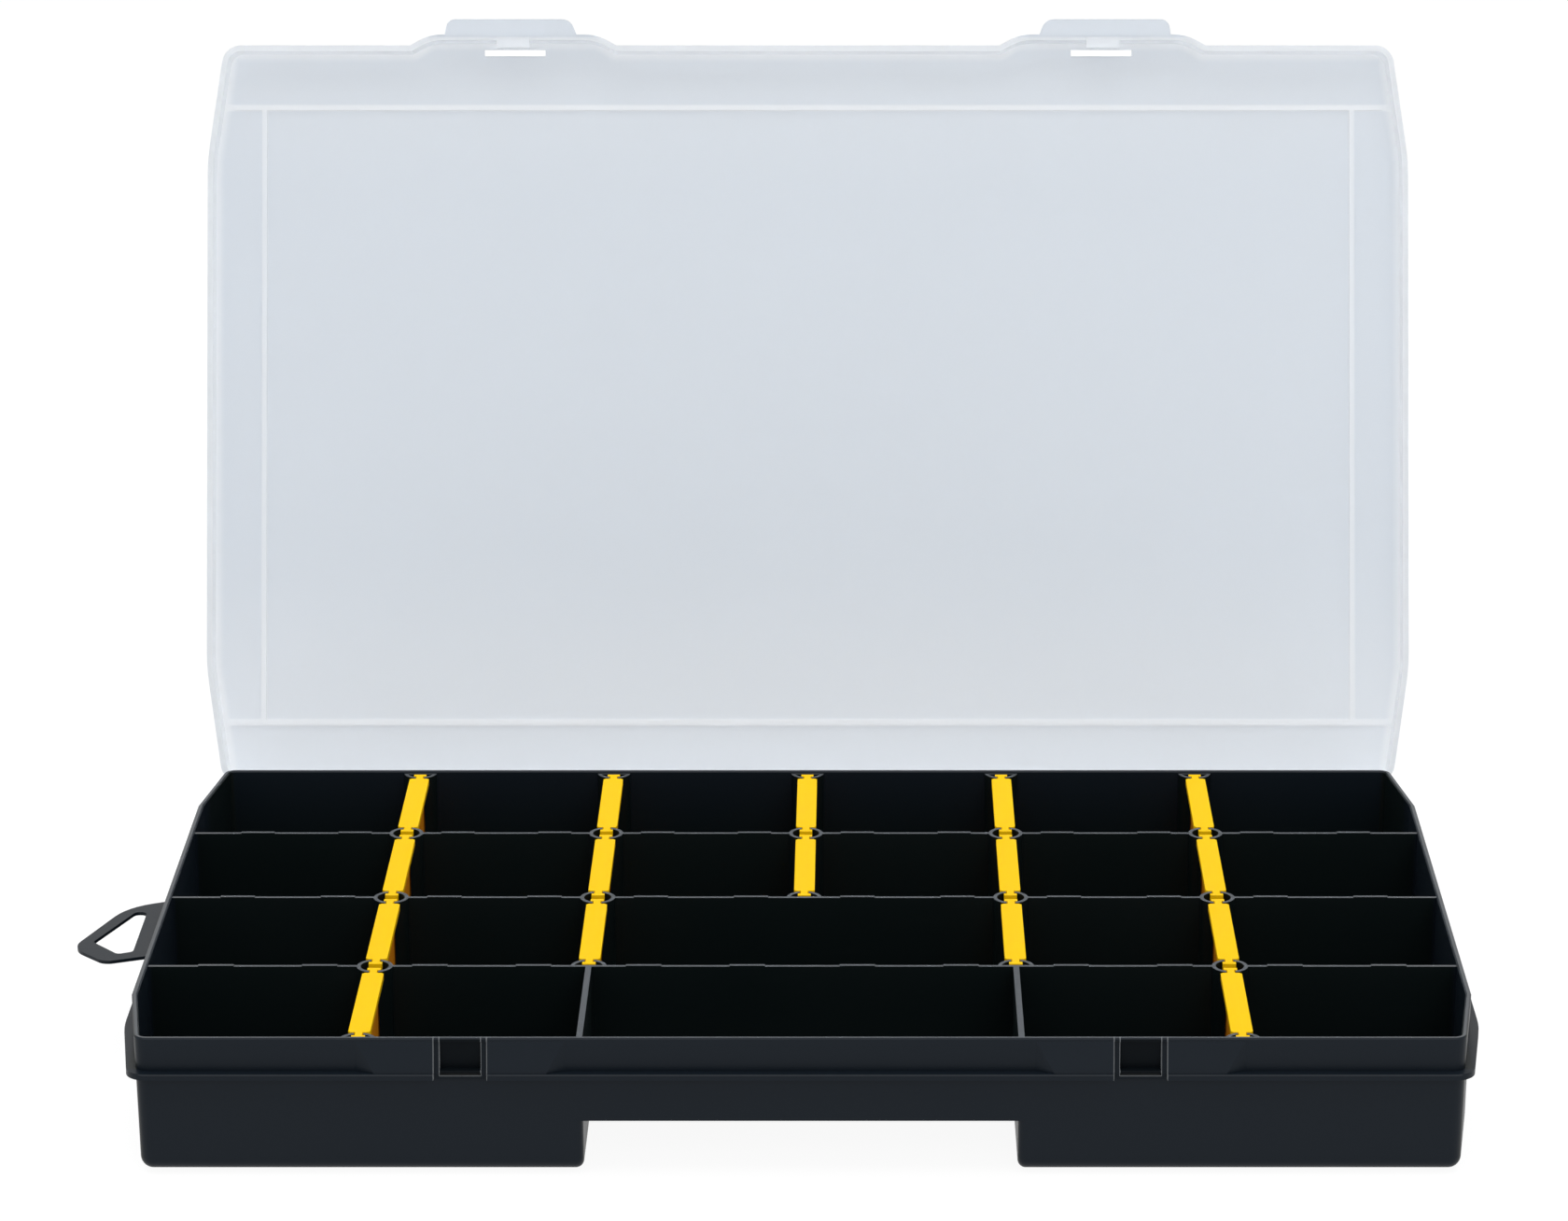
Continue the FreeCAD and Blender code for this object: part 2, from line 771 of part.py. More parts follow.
def tray_hang_loop(body):
    """The flat five-sided loop at the left that the box hangs by."""
    level = Drawing(body, "loop_plan", "XY_Plane", flange_top - size.loop_thickness)
    edge = -half_width
    seat = edge + size.corner_inset / 2
    level.outline(
        [
            Corner(seat, size.loop_back),
            Corner(edge, size.loop_back),
            Corner(edge - size.loop_shoulder_reach, size.loop_shoulder, size.loop_shoulder_round),
            Corner(edge - size.loop_reach, -size.loop_tip, size.loop_tip_round),
            Corner(edge - size.loop_front_reach, -size.loop_front, size.loop_front_round),
            Corner(edge, -size.loop_root_front),
            Corner(seat, -size.loop_root_front),
        ],
    )
    near = edge - size.loop_root_band
    far = edge - size.loop_reach + size.loop_side_band * 1.35
    radius = size.loop_hole_round
    hole_front = -(size.loop_front - size.loop_front_band)
    level.outline(
        [
            Corner(near, size.loop_shoulder - size.loop_side_band, radius),
            Corner(edge - size.loop_shoulder_reach + size.loop_side_band * 0.75,
                   size.loop_shoulder - size.loop_side_band, radius),
            Corner(far, -size.loop_tip + size.loop_front_band * 0.75, radius),
            Corner(edge - size.loop_front_reach + size.loop_side_band * 0.75, hole_front, radius),
            Corner(near, hole_front + size.loop_side_band * 0.5, radius),
        ],
    )
    add(body, "Pad", "hang_loop", level, size.loop_thickness)


def make_tray(doc):
    """The black tray, one moulding."""
    body = doc.addObject("PartDesign::Body", "tray")
    tray_tub(body)
    tray_flange(body)
    tray_latches(body)
    tray_hinge_ears(body)
    tray_hang_loop(body)
    tray_row_walls(body)
    tray_cross_walls(body)
    tray_foot(body)
    for name, lines in SOCKET_LINES.items():
        tray_sockets(body, name, lines)
    body.Tip.Refine = True
    return body


def lid_outline(inset):
    """The shared plan shape with the two latch bulges on its front edge."""
    corners = box_outline(inset)
    slant = Size(math.hypot(size.bulge_run.value, size.bulge_depth.value),
                 f"sqrt({size.bulge_run.text} ^ 2 + {size.bulge_depth.text} ^ 2)")
    shift = inset * (slant - size.bulge_run) / size.bulge_depth
    half = size.bulge_width / 2 - shift
    flat = half - size.bulge_run
    front = inset - half_depth
    proud = front - size.bulge_depth
    radius = size.bulge_round - inset
    bulges = []
    for middle in (-size.latch_x, size.latch_x):
        bulges += [
            Corner(middle - half, front),
            Corner(middle - flat, proud, radius),
            Corner(middle + flat, proud, radius),
            Corner(middle + half, front),
        ]
    return corners[:1] + bulges + corners[1:]


def lid_shell(body):
    """The plate and its skirt."""
    plan = Drawing(body, "lid_plan", "XY_Plane", skirt_edge)
    plan.outline(lid_outline(0 * size.skirt_wall))
    add(body, "Pad", "lid_block", plan, plate_top - skirt_edge)
    bevelled(body, "lid_edge_bevel", size.lid_edge_bevel, lambda e: lies_at(e, plate_top))
    hollow = Drawing(body, "lid_hollow_plan", "XY_Plane", plate_underside)
    hollow.outline(lid_outline(size.skirt_wall))
    add(body, "Pocket", "lid_hollow", hollow, plate_underside - skirt_edge)


def lid_ribs(body):
    """Low ribs under the plate: two right across, two between them at the sides."""
    level = plate_underside - size.rib_height
    height = size.rib_height + size.skirt_wall / 2
    end = half_depth - size.rib_end_inset
    across = cell_corner + rim_inset * 0.8
    cross_plan = Drawing(body, "cross_rib_plan", "XY_Plane", level)
    for side in (-1, 1):
        low = side * end - size.rib_width / 2
        cross_plan.rectangle(-across, across, low, low + size.rib_width)
    add(body, "Pad", "cross_ribs", cross_plan, height)
    side_plan = Drawing(body, "side_rib_plan", "XY_Plane", level)
    for side in (-1, 1):
        left = side * (half_width - size.rib_side_inset) - size.rib_width / 2
        side_plan.rectangle(left, left + size.rib_width, -end, end)
    add(body, "Pad", "side_ribs", side_plan, height)


def lid_latches(body):
    """A thumb tab, a slot through the plate and a hook inside the skirt at each latch."""
    middle = size.latch_x
    tip = -(half_depth + size.thumb_reach)
    root = -(half_depth + size.bulge_depth - size.skirt_wall / 2)
    inner = middle - size.thumb_inner
    outer = middle + size.thumb_outer
    thumb = Drawing(body, "thumb_plan", "XY_Plane", skirt_edge)
    thumb.outline(
        [
            Corner(inner, root),
            Corner(inner + size.thumb_inner_slant, tip, size.thumb_inner_corner),
            Corner(outer - size.thumb_outer_slant, tip, size.thumb_outer_corner),
            Corner(outer, root),
        ],
    )
    thumb_pad = add(body, "Pad", "thumb_tab", thumb, size.thumb_thickness)
    slot_front = -(half_depth - size.slot_setback)
    slot = Drawing(body, "slot_outline", "XY_Plane", plate_top)
    slot_half = size.slot_width / 2
    slot.rectangle(middle - slot_half, middle + slot_half, slot_front, slot_front + size.slot_depth)
    slot_cut = add(body, "Pocket", "latch_slot", slot, size.skirt_wall)
    hook_half = size.catch_width / 2 - size.hook_side_gap
    top = shelf_underside - size.hook_gap
    bottom = top - size.hook_lip
    hook_tip = shelf_front + size.hook_bite
    neck = shelf_front - size.hook_gap * 2
    hook = Drawing(body, "hook_profile", "YZ_Plane", middle - hook_half)
    hook.outline(
        [
            Corner(root, bottom),
            Corner(hook_tip - size.hook_lip, bottom),
            Corner(hook_tip, top - size.hook_lip / 2),
            Corner(hook_tip, top),
            Corner(neck, top),
            Corner(root, top + size.hook_brace),
        ],
    )
    hook_pad = add(body, "Pad", "latch_hook", hook, 2 * hook_half)
    mirrored(body, "latch_pair", [thumb_pad, slot_cut, hook_pad])


def lid_knuckles(body):
    """A barrel with trunnion pins behind the skirt at each hinge."""
    radius = size.hinge_radius
    start = size.hinge_x - size.knuckle_width / 2
    skirt = half_depth - size.skirt_wall / 2
    profile = Drawing(body, "knuckle_profile", "YZ_Plane", start)
    profile.outline(
        [
            Corner(skirt, skirt_edge),
            Corner(hinge_y - radius, skirt_edge),
            Corner(hinge_y - radius, hinge_z - radius, radius * 0.99),
            Corner(hinge_y + radius, hinge_z - radius, radius * 0.99),
            Corner(hinge_y + radius, hinge_z + radius, radius * 0.99),
            Corner(skirt, hinge_z + radius),
        ],
    )
    barrel = add(body, "Pad", "knuckle", profile, size.knuckle_width)
    pins = Drawing(body, "pin_plan", "YZ_Plane", start - size.pin_length)
    pins.circle(hinge_y, hinge_z, size.pin_diameter / 2)
    pin_pad = add(body, "Pad", "trunnions", pins, size.knuckle_width + 2 * size.pin_length)
    mirrored(body, "knuckle_pair", [barrel, pin_pad])


def make_lid(doc):
    """The translucent lid, modelled shut and then turned open to its stop."""
    body = doc.addObject("PartDesign::Body", "lid")
    lid_shell(body)
    lid_ribs(body)
    lid_latches(body)
    lid_knuckles(body)
    angle = size.lid_open_angle
    bind(body, "Placement.Rotation.Axis.x", -1)
    bind(body, "Placement.Rotation.Axis.z", 0)
    bind(body, "Placement.Rotation.Angle", angle)
    turned_y = hinge_y * wave("cos", angle) + hinge_z * wave("sin", angle)
    turned_z = hinge_z * wave("cos", angle) - hinge_y * wave("sin", angle)
    bind(body, "Placement.Base.y", hinge_y - turned_y)
    bind(body, "Placement.Base.z", hinge_z - turned_z)
    return body


def make_divider(doc, row, column):
    """One yellow divider: a thin web with a headed edge at each end and a flat cap."""
    body = doc.addObject("PartDesign::Body", f"divider_{row}_{column}")
    web = size.divider_web / 2
    head = size.head_width / 2
    end = row_pitch / 2 - size.head_spacing / 2
    neck = end - size.head_length
    cap_end = row_pitch / 2 - ring_radius - size.divider_gap
    height = wall_top - floor_level - size.divider_gap
    plan = Drawing(body, f"{body.Name}_web_plan", "XY_Plane")
    plan.outline(
        [
            Corner(-head, -end),
            Corner(head, -end),
            Corner(head, -neck),
            Corner(web, -neck),
            Corner(web, neck),
            Corner(head, neck),
            Corner(head, end),
            Corner(-head, end),
            Corner(-head, neck),
            Corner(-web, neck),
            Corner(-web, -neck),
            Corner(-head, -neck),
        ],
    )
    add(body, "Pad", f"{body.Name}_web", plan, height)
    cap = size.cap_width / 2
    cap_plan = Drawing(body, f"{body.Name}_cap_plan", "XY_Plane", height - size.cap_thickness)
    cut = size.cap_corner
    cap_plan.outline(
        [
            Corner(-cap, cut - cap_end),
            Corner(cut - cap, -cap_end),
            Corner(cap - cut, -cap_end),
            Corner(cap, cut - cap_end),
            Corner(cap, cap_end - cut),
            Corner(cap - cut, cap_end),
            Corner(cut - cap, cap_end),
            Corner(-cap, cap_end - cut),
        ],
    )
    add(body, "Pad", f"{body.Name}_cap", cap_plan, size.cap_thickness)
    bind(body, "Placement.Base.x", COLUMNS[column] * column_pitch)
    bind(body, "Placement.Base.y", (1.5 - ROWS.index(row)) * row_pitch)
    bind(body, "Placement.Base.z", floor_level + size.divider_gap)
    return body


def check(doc, bodies):
    """Stop if any object failed to build."""
    for thing in doc.Objects:
        if "Invalid" in thing.State or "Error" in thing.State:
            raise RuntimeError(f"{thing.Label} did not build: {thing.State}")
    for body in bodies:
        if body.Shape.isNull() or not body.Shape.isValid() or len(body.Shape.Solids) != 1:
            raise RuntimeError(f"{body.Label} is not one valid solid")


def main():
    doc = FreeCAD.newDocument("CompartmentBox")
    make_sheet(doc)
    bodies = [make_tray(doc), make_lid(doc)]
    for row, columns in DIVIDERS.items():
        bodies += [make_divider(doc, row, column) for column in columns]
    doc.recompute()
    check(doc, bodies)
    os.makedirs("parts", exist_ok=True)
    for body in bodies:
        body.Shape.exportStep(f"parts/{body.Label}.step")
        print(body.Label, round(body.Shape.Volume / 1000, 2), "cm3")


main()
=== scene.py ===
import math

import bmesh
import bpy
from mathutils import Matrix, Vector

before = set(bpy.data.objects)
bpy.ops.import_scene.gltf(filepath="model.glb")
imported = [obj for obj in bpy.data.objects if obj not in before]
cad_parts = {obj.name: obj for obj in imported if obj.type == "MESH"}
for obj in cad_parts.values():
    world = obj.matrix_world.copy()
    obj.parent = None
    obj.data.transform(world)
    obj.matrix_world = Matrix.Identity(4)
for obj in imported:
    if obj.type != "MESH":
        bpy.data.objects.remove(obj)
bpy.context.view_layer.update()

MM = 0.001

# Sizes of the part that the finishes follow, in metres and degrees.
RIM = 36.5 * MM
WALL_TOP = 35.8 * MM
CAP_UNDERSIDE = 34.2 * MM
FLOOR_LEVEL = 2.4 * MM
FLANGE_TOP = 27.8 * MM
FRONT_EDGE = 104.35 * MM
FRONT_WALL = 101.2 * MM
INSIDE_X = 165.2 * MM
INSIDE_Y = 100.2 * MM
LATCH_X = 83.5 * MM
POCKET_HALF = 5.1 * MM
POCKET_FOOT = 27.1 * MM
FRAME_HALF = 6.55 * MM
FRAME_FOOT = 26.0 * MM
HINGE_Y = 107.45 * MM
HINGE_Z = 27.6 * MM
OPEN_ANGLE = math.radians(107.93)
LID_TOP = 38.35 * MM
LID_SIDE = 168.4 * MM
LID_END = 102.75 * MM
LID_BEND = 71.85 * MM
LID_TAPER = 0.145
BULGE = 3.1 * MM
LID_EDGE = 2.6 * MM
SKIRT_START = 1.4 * MM
SKIRT_FULL = 3.2 * MM
BULGE_HALF = 22.0 * MM
BULGE_FOOT = 29.0 * MM
BEAD_Y = 87.5 * MM
BEAD_X = 154.7 * MM
BEAD_HALF = 0.55 * MM
BEAD_SOFT = 0.7 * MM
LINE_SOFT = 0.12 * MM
CRISP = 0.1 * MM

# The photograph's camera, for an image of 1680 by 1308.
CAMERA_PLACE = (0.01376, -1.33587, 0.52596)
CAMERA_TILT = math.radians(72.89)
CAMERA_LENS = 123.95
CAMERA_SHIFT = -0.0462

# Where the two lamps stand, in metres.
OVERHEAD_PLACE = (0.0, -0.15, 1.7)
FILL_PLACE = (0.5, -2.4, 1.5)

# Colours and strengths of the finishes and the floor.
BLACK = (0.0052, 0.0091, 0.0146)
# Painted shade: the black made darker inside the compartments.
BLACK_INSIDE_SHADE = (0.0028, 0.0058, 0.0061)
BLACK_WORN = (0.012, 0.016, 0.018)
# Painted highlight on the wall tops and the flange lip.
BLACK_HIGHLIGHT = (0.075, 0.082, 0.090)
# Painted highlight on the latch frame and pocket edges.
BLACK_EDGE_HIGHLIGHT = (0.150, 0.160, 0.168)
# Painted shade in the latch pockets and frames.
BLACK_POCKET_SHADE = (0.0020, 0.0032, 0.0042)
YELLOW = (1.0, 0.595, 0.003)
YELLOW_PALE = (1.0, 0.650, 0.008)
# Painted shade: the deeper orange of the web's sides under the cap.
YELLOW_WEB_SHADE = (0.82, 0.285, 0.012)
FROST = (0.758, 0.806, 0.864)
# Paler frost for the thick beads and for painted light along the skirt, edges and ends; also the painted
# glow's colour.
FROST_THICK_AND_LIT = (0.930, 0.955, 0.985)
# Painted glow: emission on the skirt's inner wall, lightening the shade in its corner.
SKIRT_PAINTED_GLOW = 0.10
FLOOR_WHITE = (0.90, 0.90, 0.90)
FLOOR_FAINT = (0.88, 0.88, 0.88)
FLOOR_GLOW = 0.85
FLOOR_LIGHT = 1.09
FLOOR_RADIUS = 9.0
FLOOR_DROP = 0.05 * MM
SURROUND = 0.45


class Wire:
    """A shader socket. Python's operators on it add the Math nodes."""

    def __init__(self, paint, socket):
        self.paint = paint
        self.socket = socket

    def __add__(self, other):
        return self.paint.maths("ADD", self, other)

    def __radd__(self, other):
        return self.paint.maths("ADD", other, self)

    def __sub__(self, other):
        return self.paint.maths("SUBTRACT", self, other)

    def __rsub__(self, other):
        return self.paint.maths("SUBTRACT", other, self)

    def __mul__(self, other):
        return self.paint.maths("MULTIPLY", self, other)

    def __rmul__(self, other):
        return self.paint.maths("MULTIPLY", other, self)

    def __abs__(self):
        return self.paint.maths("ABSOLUTE", self)


class Paint:
    """The nodes of one material, or of the world."""

    def __init__(self, owner):
        owner.use_nodes = True
        self.owner = owner
        self.tree = owner.node_tree
        self.tree.nodes.clear()

    def node(self, kind, settings=None, sockets=None, output=0):
        """Any node: its settings are set first, then its sockets, and one output comes back."""
        made = self.tree.nodes.new(f"ShaderNode{kind}")
        for name, setting in (settings or {}).items():
            setattr(made, name, setting)
        for name, value in (sockets or {}).items():
            if isinstance(value, Wire):
                self.tree.links.new(value.socket, made.inputs[name])
            else:
                made.inputs[name].default_value = value
        return Wire(self, made.outputs[output]) if made.outputs else None

    def maths(self, operation, *values):
        return self.node("Math", {"operation": operation}, dict(enumerate(values)))

    def step(self, value, low, high):
        """Rises smoothly from 0 at low to 1 at high."""
        sockets = {"Value": value, "From Min": low, "From Max": high}
        return self.node("MapRange", {"interpolation_type": "SMOOTHSTEP"}, sockets)

    def band(self, value, middle, half, soft):
        """1 within half of the middle, fading to 0 over soft."""
        return 1 - self.step(abs(value - middle), half, half + soft)

    def above(self, value, level):
        """1 above a level and 0 under it, with a crisp change between."""
        return self.step(value, level - CRISP, level + CRISP)

    def mix(self, factor, first, second):
        """A colour between two colours."""
        sockets = {0: factor, 6: colour(first), 7: colour(second)}
        return self.node("Mix", {"data_type": "RGBA"}, sockets, 2)

    def place(self):
        """Coordinates of the piece itself, which move with it."""
        return self.node("TexCoord", output="Object")

    def stretched(self, place, scale):
        """Coordinates scaled by a different amount each way."""
        return self.node("VectorMath", {"operation": "MULTIPLY"}, {0: place, 1: scale})

    def noise(self, place, scale, detail=2.0, roughness=0.5):
        sockets = {"Vector": place, "Scale": scale, "Detail": detail, "Roughness": roughness}
        return self.node("TexNoise", {}, sockets)

    def axes(self, place):
        """The three coordinates as numbers."""
        split = self.node("SeparateXYZ", {}, {0: place}).socket.node
        return [Wire(self, socket) for socket in split.outputs]

    def bump(self, height, strength, distance):
        return self.node("Bump", {}, {"Height": height, "Strength": strength, "Distance": distance})

    def surface(self, shader):
        self.node("OutputMaterial", {}, {"Surface": shader})


def colour(value):
    """A colour's three numbers with the fourth that Blender wants."""
    return value if isinstance(value, Wire) else (*value, 1.0)


def moulded(name):
    """A new material's nodes."""
    return Paint(bpy.data.materials.new(name))


def black_moulding():
    """Satin black plastic: fine spark-eroded grain, faint flow marks and scratches, with painted
    highlights on the wall tops, the flange lip and the latch edges, and painted shade inside the
    compartments and in the latch pockets.
    """
    paint = moulded("black_moulding")
    place = paint.place()
    across, along, height = paint.axes(place)
    upright = paint.axes(paint.node("TexCoord", output="Normal"))[2]
    grain = paint.noise(place, 2600, 3.0, 0.6)
    flow = paint.noise(paint.stretched(place, (1.0, 1.0, 0.35)), 18, 3.0)
    scuff = paint.noise(paint.stretched(place, (40.0, 420.0, 420.0)), 1.0, 4.0, 0.7)
    # Painted highlight on the upward faces at the wall tops.
    high = paint.step(height, WALL_TOP - 0.3 * MM, WALL_TOP - 0.1 * MM)
    top_edge_highlight = high * paint.step(upright, 0.85, 0.97)
    # Painted highlight along the front flange lip.
    lip_highlight = paint.band(height, FLANGE_TOP - 0.2 * MM, 0.1 * MM, 0.15 * MM)
    lip_highlight = lip_highlight * paint.step(-1 * along, FRONT_EDGE - 0.5 * MM, FRONT_EDGE - 0.2 * MM)
    # Painted shade: the black is made darker inside the compartments, above the floor.
    shaded_inside = 1 - paint.step(abs(across), INSIDE_X, INSIDE_X + 0.8 * MM)
    shaded_inside = shaded_inside * (1 - paint.step(abs(along), INSIDE_Y, INSIDE_Y + 0.6 * MM))
    shaded_inside = shaded_inside * paint.above(height, FLOOR_LEVEL)
    # Painted highlights on the latch edges and painted shade in the latch pockets.
    latch_highlights, latch_shade = latch_highlights_and_shade(paint, across, along, height)
    on_floor = 1 - paint.step(height, FLOOR_LEVEL, FLOOR_LEVEL + 1.5 * MM)
    scratched = paint.step(scuff, 0.56, 0.75)
    worn = on_floor * scratched * 0.25 + flow * 0.12
    plain = paint.mix(worn, paint.mix(shaded_inside, BLACK, BLACK_INSIDE_SHADE), BLACK_WORN)
    # Painted highlight: the wall tops and flange lip made lighter.
    highlighted = paint.mix(top_edge_highlight + lip_highlight * 0.3, plain, BLACK_HIGHLIGHT)
    bump = paint.bump(grain + flow * 0.4, 0.10, 0.15 * MM)
    satin = paint.node(
        "BsdfPrincipled",
        {},
        {
            "Base Color": paint.mix(latch_highlights, highlighted, BLACK_EDGE_HIGHLIGHT),
            "Roughness": 0.30 + flow * 0.10 + grain * 0.06 - top_edge_highlight * 0.06 + scratched * 0.05,
            "Specular IOR Level": 0.14,
            "Normal": bump,
        },
    )
    # Painted shade: a darker, duller black mixed in over the latch pockets and frames.
    pocket_shade = paint.node(
        "BsdfPrincipled",
        {},
        {
            "Base Color": (*BLACK_POCKET_SHADE, 1.0),
            "Roughness": 0.55 + grain * 0.10,
            "Specular IOR Level": 0.05,
            "Normal": bump,
        },
    )
    paint.surface(paint.node("MixShader", {}, {0: latch_shade, 1: satin, 2: pocket_shade}))
    return paint.owner


def latch_highlights_and_shade(paint, across, along, height):
    """Painted highlights on the edges of a latch place, and painted shade in its pocket and on the frame
    round it.
    """
    forward = paint.step(-1 * along, FRONT_WALL - 0.6 * MM, FRONT_WALL - 0.3 * MM)
    off_latch = abs(abs(across) - LATCH_X)
    over_foot = paint.above(height, POCKET_FOOT)
    over_frame_foot = paint.above(height, FRAME_FOOT)
    in_pocket = 1 - paint.above(off_latch, POCKET_HALF)
    in_frame = 1 - paint.above(off_latch, FRAME_HALF)
    pocket_sides = paint.band(off_latch, POCKET_HALF, 0.06 * MM, LINE_SOFT) * over_foot
    pocket_foot = paint.band(height, POCKET_FOOT, 0.05 * MM, LINE_SOFT) * in_pocket
    frame_sides = paint.band(off_latch, FRAME_HALF, 0.06 * MM, LINE_SOFT) * over_frame_foot
    highlights = (pocket_sides + pocket_foot + frame_sides) * forward
    under_rim = 1 - paint.above(height, RIM - 0.3 * MM)
    shade = in_pocket * over_foot * 0.45 + in_frame * over_frame_foot * 0.40
    return highlights, shade * forward * under_rim * (1 - paint.maths("MINIMUM", highlights, 1.0))


def yellow_moulding():
    """Satin yellow plastic, with painted shade making the web below the cap a deeper orange than the
    cap.
    """
    paint = moulded("yellow_moulding")
    place = paint.place()
    grain = paint.noise(place, 2200, 3.0, 0.6)
    flow = paint.noise(paint.stretched(place, (1.0, 0.4, 1.0)), 60, 3.0)
    # The cap mask; below it the web takes a painted shade.
    cap = paint.above(paint.axes(place)[2], CAP_UNDERSIDE)
    shader = paint.node(
        "BsdfPrincipled",
        {},
        {
            "Base Color": paint.mix(cap, YELLOW_WEB_SHADE, paint.mix(flow * 0.45, YELLOW, YELLOW_PALE)),
            "Roughness": 0.36 + flow * 0.10 + grain * 0.05,
            "Specular IOR Level": 0.03,
            "Normal": paint.bump(grain + flow * 0.5, 0.08, 0.12 * MM),
        },
    )
    paint.surface(shader)
    return paint.owner


def frosted_moulding():
    """Milky see-through plastic, paler along its beads and with random clouding, with painted light
    along the skirt, the outline strip and both ends, and a painted glow on the skirt's inner wall.
    """
    paint = moulded("frosted_moulding")
    place = paint.place()
    across, y, z = paint.axes(place)
    behind, over = swung_shut(y - HINGE_Y, z - HINGE_Z)
    along = behind + HINGE_Y
    level = over + HINGE_Z
    margin = lid_margin(paint, abs(across), along)
    cloud = paint.noise(place, 9, 2.0)
    grain = paint.noise(place, 1800, 3.0, 0.6)
    skirt = 1 - paint.step(level, LID_TOP - SKIRT_FULL, LID_TOP - SKIRT_START)
    # Painted light: the lid made paler towards its hinge end and its latch end.
    hinge_end_light = paint.step(along, 30.0 * MM, 103.0 * MM)
    latch_end_light = paint.step(-1 * along, 60.0 * MM, 103.0 * MM)
    tab = paint.step(-1 * along, LID_END + BULGE + 0.2 * MM, LID_END + BULGE + 1.2 * MM)
    painted_end_light = hinge_end_light * 0.5 + latch_end_light * 0.25
    beads = lid_beads(paint, abs(across), along)
    # Paler where the beads make it thick, with painted light on the skirt, the outline strip and the
    # ends.
    thick_and_painted_light = (beads + skirt * 0.55 + margin * 0.7 + painted_end_light + (cloud - 0.5) * 0.10) * (1 - tab)
    inner_wall_glow = lid_inner_wall_glow(paint, across, along, margin)
    shader = paint.node(
        "BsdfPrincipled",
        {},
        {
            "Base Color": paint.mix(thick_and_painted_light, FROST, FROST_THICK_AND_LIT),
            "Roughness": 0.40 + cloud * 0.06 + grain * 0.06,
            "IOR": 1.49,
            "Transmission Weight": 0.60,
            # Painted glow on the skirt's inner wall.
            "Emission Color": paint.mix(inner_wall_glow, (0.0, 0.0, 0.0), FROST_THICK_AND_LIT),
            "Emission Strength": SKIRT_PAINTED_GLOW,
            "Normal": paint.bump(grain, 0.06, 0.10 * MM),
        },
    )
    paint.surface(shader)
    return paint.owner


def swung_shut(y, z):
    """The two parts of a direction on the open lid, turned back to the closed lid."""
    cosine, sine = math.cos(OPEN_ANGLE), math.sin(OPEN_ANGLE)
    return y * cosine - z * sine, y * sine + z * cosine


def lid_beads(paint, side, along):
    """The stiffening beads that run round the lid's plate."""
    end_bead = paint.band(abs(along), BEAD_Y, BEAD_HALF, BEAD_SOFT)
    side_bead = paint.band(side, BEAD_X, BEAD_HALF, BEAD_SOFT) * paint.band(along, 0.0, BEAD_Y, 0.5 * MM)
    return end_bead * 0.75 + side_bead * 0.45


def lid_margin(paint, side, along):
    """The strip along the lid's outline, which bends in at the corners and out at the latches."""
    taper = LID_TAPER * paint.maths("MAXIMUM", abs(along) - LID_BEND, 0.0)
    at_latch = 1 - paint.step(abs(side - LATCH_X), BULGE_HALF, BULGE_FOOT)
    bulge = BULGE * at_latch * paint.step(-1 * along, 0.0, 50.0 * MM)
    to_side = paint.step(side + taper, LID_SIDE - LID_EDGE, LID_SIDE - 0.2 * MM)
    to_end = paint.step(abs(along) - bulge, LID_END - LID_EDGE, LID_END - 0.2 * MM)
    return paint.maths("MAXIMUM", to_side, to_end)


def lid_inner_wall_glow(paint, across, along, margin):
    """The skirt's inner wall, which a painted glow makes paler."""
    face_across, face_y, face_z = paint.axes(paint.node("TexCoord", output="Normal"))
    face_along, face_level = swung_shut(face_y, face_z)
    inward = -1 * (across * face_across + along * face_along)
    upright = 1 - paint.step(abs(face_level), 0.35, 0.75)
    return paint.step(inward, 0.02, 0.05) * upright * paint.step(margin, 0.05, 0.2)


def white_floor():
    """A pale floor that shows as white and still takes the object's shadow."""
    paint = moulded("white_floor")
    place = paint.place()
    faint = paint.noise(place, 3.0, 2.0)
    tint = paint.mix(faint * 0.2, FLOOR_WHITE, FLOOR_FAINT)
    sockets = {"Base Color": tint, "Roughness": 0.9, "Specular IOR Level": 0.0}
    plain = paint.node("BsdfPrincipled", {}, sockets)
    glow = paint.node("Emission", {}, {"Color": (1.0, 1.0, 1.0, 1.0), "Strength": FLOOR_LIGHT})
    paint.surface(paint.node("MixShader", {}, {0: FLOOR_GLOW * seen(paint), 1: plain, 2: glow}))
    return paint.owner


def seen(paint):
    """1 for rays that show the background: straight to the eye, mirrored or through plastic."""
    path = paint.node("LightPath").socket.node
    kinds = ("Camera", "Glossy", "Transmission")
    straight, mirrored, through = (Wire(paint, path.outputs[f"Is {kind} Ray"]) for kind in kinds)
    return paint.maths("MINIMUM", straight + mirrored + through, 1.0)


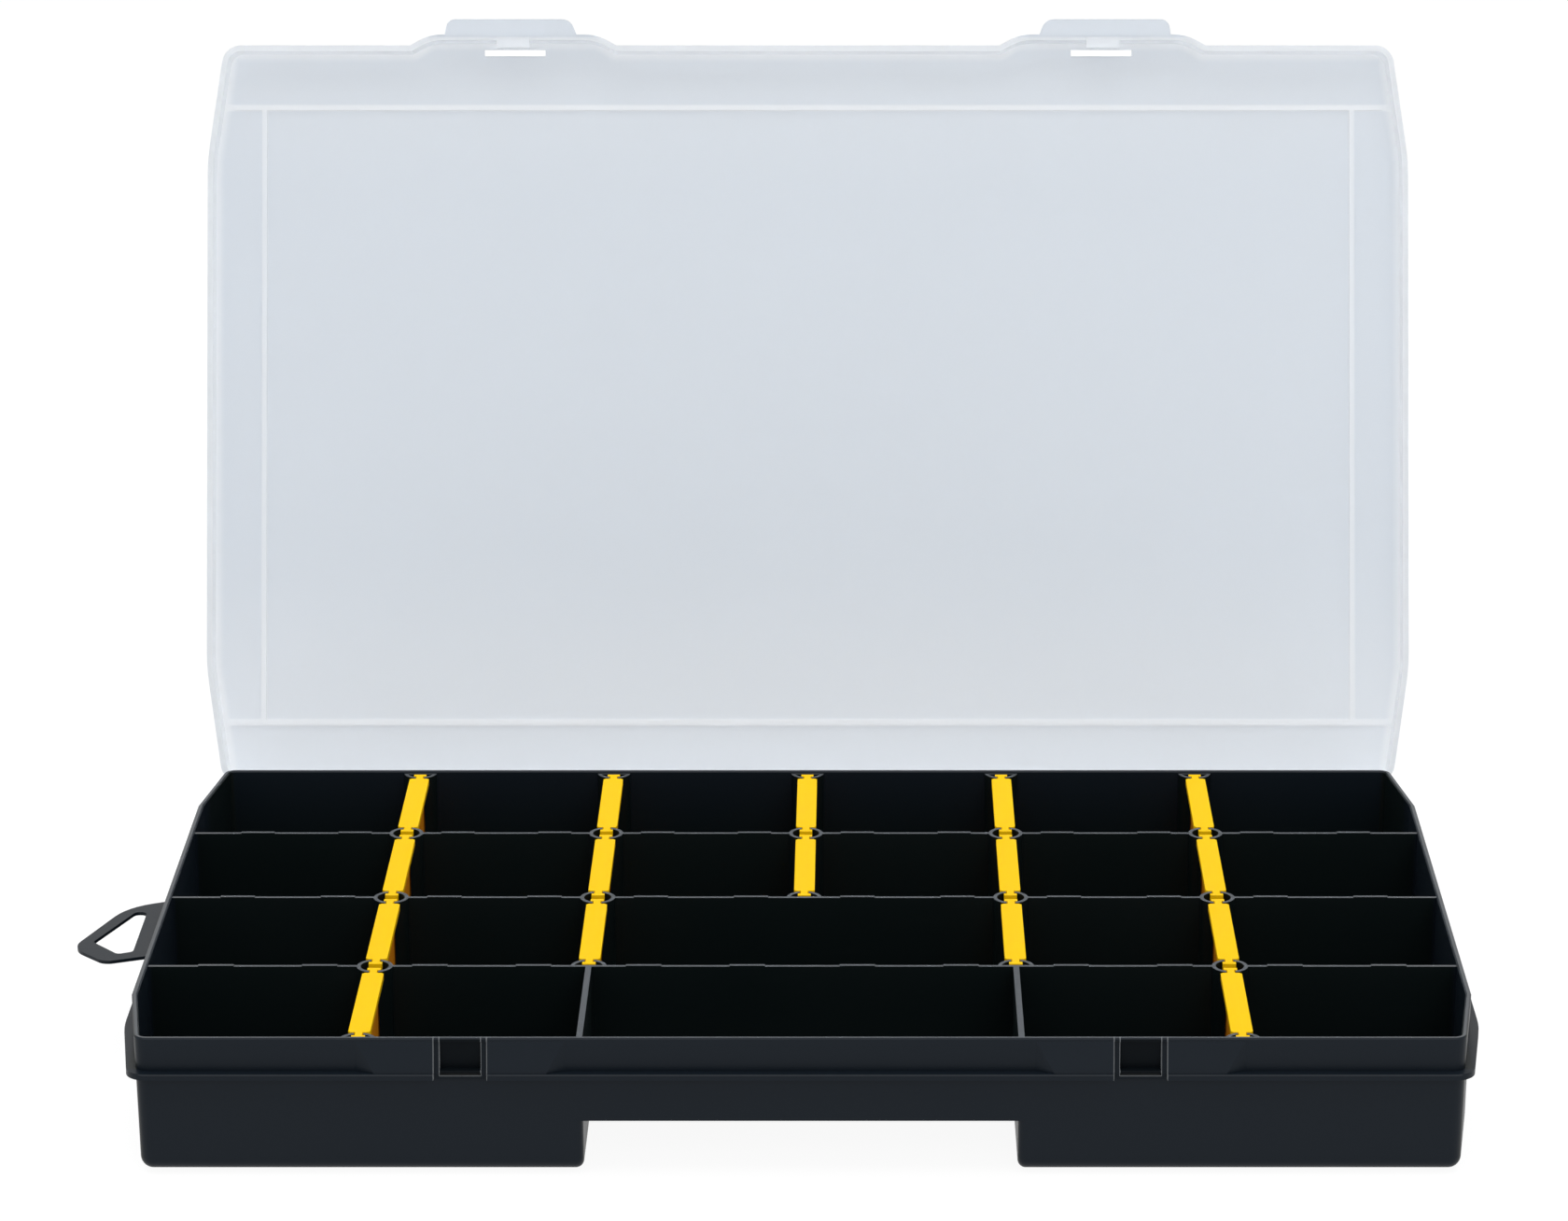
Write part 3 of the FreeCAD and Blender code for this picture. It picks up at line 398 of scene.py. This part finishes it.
def add_floor():
    """A wide round floor under the foot."""
    mesh = bpy.data.meshes.new("studio_floor")
    shape = bmesh.new()
    bmesh.ops.create_circle(shape, cap_ends=True, radius=FLOOR_RADIUS, segments=96)
    shape.to_mesh(mesh)
    shape.free()
    floor = bpy.data.objects.new("studio_floor", mesh)
    bpy.context.scene.collection.objects.link(floor)
    floor.location.z = -FLOOR_DROP
    mesh.materials.append(white_floor())


def add_world():
    """An even white surround."""
    world = bpy.data.worlds.new("studio_surround")
    bpy.context.scene.world = world
    paint = Paint(world)
    strength = SURROUND + (1.0 - SURROUND) * seen(paint)
    light = paint.node("Background", {}, {"Color": (1.0, 1.0, 1.0, 1.0), "Strength": strength})
    paint.node("OutputWorld", {}, {"Surface": light})


def add_softbox(name, place, aim, width, depth, power):
    """A rectangular lamp that faces a point."""
    lamp = bpy.data.lights.new(name, "AREA")
    lamp.shape = "RECTANGLE"
    lamp.size = width
    lamp.size_y = depth
    lamp.energy = power
    softbox = bpy.data.objects.new(name, lamp)
    bpy.context.scene.collection.objects.link(softbox)
    softbox.location = place
    facing = Vector(aim) - Vector(place)
    softbox.rotation_euler = facing.to_track_quat("-Z", "Y").to_euler()


def add_camera():
    """The photograph's viewpoint."""
    data = bpy.data.cameras.new("photo_camera")
    data.sensor_width = 36.0
    data.lens = CAMERA_LENS
    data.shift_x = CAMERA_SHIFT
    data.clip_end = 100.0
    camera = bpy.data.objects.new("photo_camera", data)
    bpy.context.scene.collection.objects.link(camera)
    camera.location = CAMERA_PLACE
    camera.rotation_euler = (CAMERA_TILT, 0.0, 0.0)
    bpy.context.scene.camera = camera


def dress(node, material):
    """Give a CAD piece its finish."""
    node.data.materials.clear()
    node.data.materials.append(material)


black = black_moulding()
yellow = yellow_moulding()
frost = frosted_moulding()
for name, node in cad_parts.items():
    if name == "tray":
        dress(node, black)
    elif name == "lid":
        dress(node, frost)
    else:
        dress(node, yellow)

add_floor()
add_world()
add_softbox("overhead_softbox", OVERHEAD_PLACE, aim=(0.0, 0.0, 0.0), width=1.8, depth=1.4, power=19.0)
add_softbox("front_fill", FILL_PLACE, aim=(0.0, 0.0, 0.1), width=1.6, depth=1.2, power=14.0)
add_camera()
bpy.context.scene.view_settings.view_transform = "Standard"
